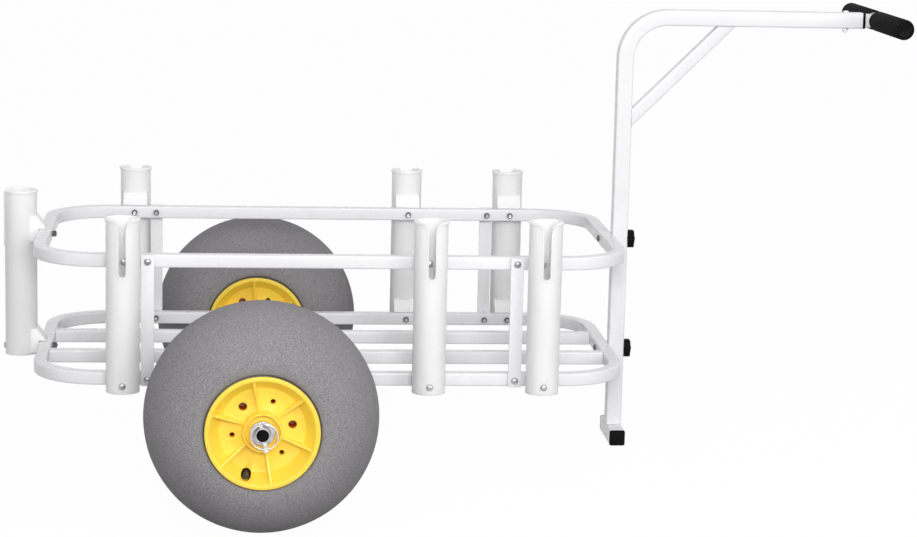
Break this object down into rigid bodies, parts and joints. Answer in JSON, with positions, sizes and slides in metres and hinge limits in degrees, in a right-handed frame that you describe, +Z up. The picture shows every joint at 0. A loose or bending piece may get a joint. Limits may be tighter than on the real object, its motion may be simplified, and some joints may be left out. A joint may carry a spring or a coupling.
{
  "type": "fishing trolley",
  "caption": "Fishing trolley: open rail basket on balloon wheels, slotted rod holders round it, and a bent, braced handle post with a T-handle and a ground foot.",
  "frame": {"origin": "on the ground, under the middle of the bounding box, with the trolley standing on its wheels and its foot", "axes": "+X towards the handle, +Y to the trolley's left (the far side in the picture), +Z up; the basket leans nose-down by 4.4 degrees"},
  "size_m": [1.3831, 0.9716, 0.6656],
  "materials": {
    "white_paint": "white gloss powder coat",
    "white_plastic": "satin",
    "yellow_plastic": "satin",
    "black_plastic": "matte",
    "tyre_rubber": "matte, light grey",
    "foam": "matte foam",
    "zinc_steel": "zinc plated",
    "bush_plastic": "plain"
  },
  "bodies": {
    "frame": {"lower_ring": "white_paint", "upper_ring": "white_paint", "floor_slat_right": "white_paint", "upright_rear_right": "white_paint", "upright_front_right": "white_paint", "floor_slat_left": "white_paint", "upright_rear_left": "white_paint", "upright_front_left": "white_paint", "rod_holder_end": "white_plastic", "holder_bolt_end": "zinc_steel", "rod_holder_rear_right": "white_plastic", "holder_bolt_rear_right": "zinc_steel", "rod_holder_rear_left": "white_plastic", "holder_bolt_rear_left": "zinc_steel", "rod_holder_middle_right": "white_plastic", "holder_bolt_middle_right": "zinc_steel", "rod_holder_middle_left": "white_plastic", "holder_bolt_middle_left": "zinc_steel", "rod_holder_front_right": "white_plastic", "holder_bolt_front_right": "zinc_steel", "rod_holder_front_left": "white_plastic", "holder_bolt_front_left": "zinc_steel", "axle_beam": "white_paint", "axle": "zinc_steel", "washer_right": "zinc_steel", "axle_plug_right": "black_plastic", "linch_pin_right": "zinc_steel", "washer_left": "zinc_steel", "axle_plug_left": "black_plastic", "linch_pin_left": "zinc_steel", "handle_post": "white_paint", "handle_brace": "white_paint", "foot_bar": "white_paint", "foot_cap_right": "black_plastic", "foot_cap_left": "black_plastic", "arm_collar": "black_plastic", "handle_bolt": "zinc_steel", "handle_bar": "white_paint", "grip_right": "foam", "grip_plug_right": "black_plastic", "grip_left": "foam", "grip_plug_left": "black_plastic", "knob_bolt_lower": "zinc_steel", "knob_bolt_upper": "zinc_steel"},
    "linch_ring_right": {"linch_ring_right": "zinc_steel"},
    "linch_ring_left": {"linch_ring_left": "zinc_steel"},
    "knob_lower": {"knob_lower": "black_plastic"},
    "knob_upper": {"knob_upper": "black_plastic"},
    "wheel_right": {"tyre_right": "tyre_rubber", "hub_outer_right": "yellow_plastic", "hub_inner_right": "yellow_plastic", "valve_right": "black_plastic", "bush_right": "bush_plastic"},
    "wheel_left": {"tyre_left": "tyre_rubber", "hub_outer_left": "yellow_plastic", "hub_inner_left": "yellow_plastic", "valve_left": "black_plastic", "bush_left": "bush_plastic"}
  },
  "joints": [
    {"name": "wheel_right_spin", "type": "hinge", "parent": "frame", "child": "wheel_right", "pos_m": [-0.30574, -0.3725, 0.165], "axis": [0, 1, 0], "continuous": true},
    {"name": "wheel_left_spin", "type": "hinge", "parent": "frame", "child": "wheel_left", "pos_m": [-0.30574, 0.3725, 0.165], "axis": [0, 1, 0], "continuous": true},
    {"name": "knob_lower_turn", "type": "hinge", "parent": "frame", "child": "knob_lower", "pos_m": [0.2666, 0, 0.14338], "axis": [0.997, 0, -0.0775], "continuous": true},
    {"name": "knob_upper_turn", "type": "hinge", "parent": "frame", "child": "knob_upper", "pos_m": [0.27999, 0, 0.31556], "axis": [0.997, 0, -0.0775], "continuous": true},
    {"name": "linch_ring_right_flip", "type": "hinge", "parent": "frame", "child": "linch_ring_right", "pos_m": [-0.30254, -0.4778, 0.14374], "axis": [0.9889, 0, 0.1488], "range_deg": [0, 150]},
    {"name": "linch_ring_left_flip", "type": "hinge", "parent": "frame", "child": "linch_ring_left", "pos_m": [-0.31219, 0.4778, 0.14449], "axis": [-0.954, 0, 0.2998], "range_deg": [0, 150]}
  ]
}
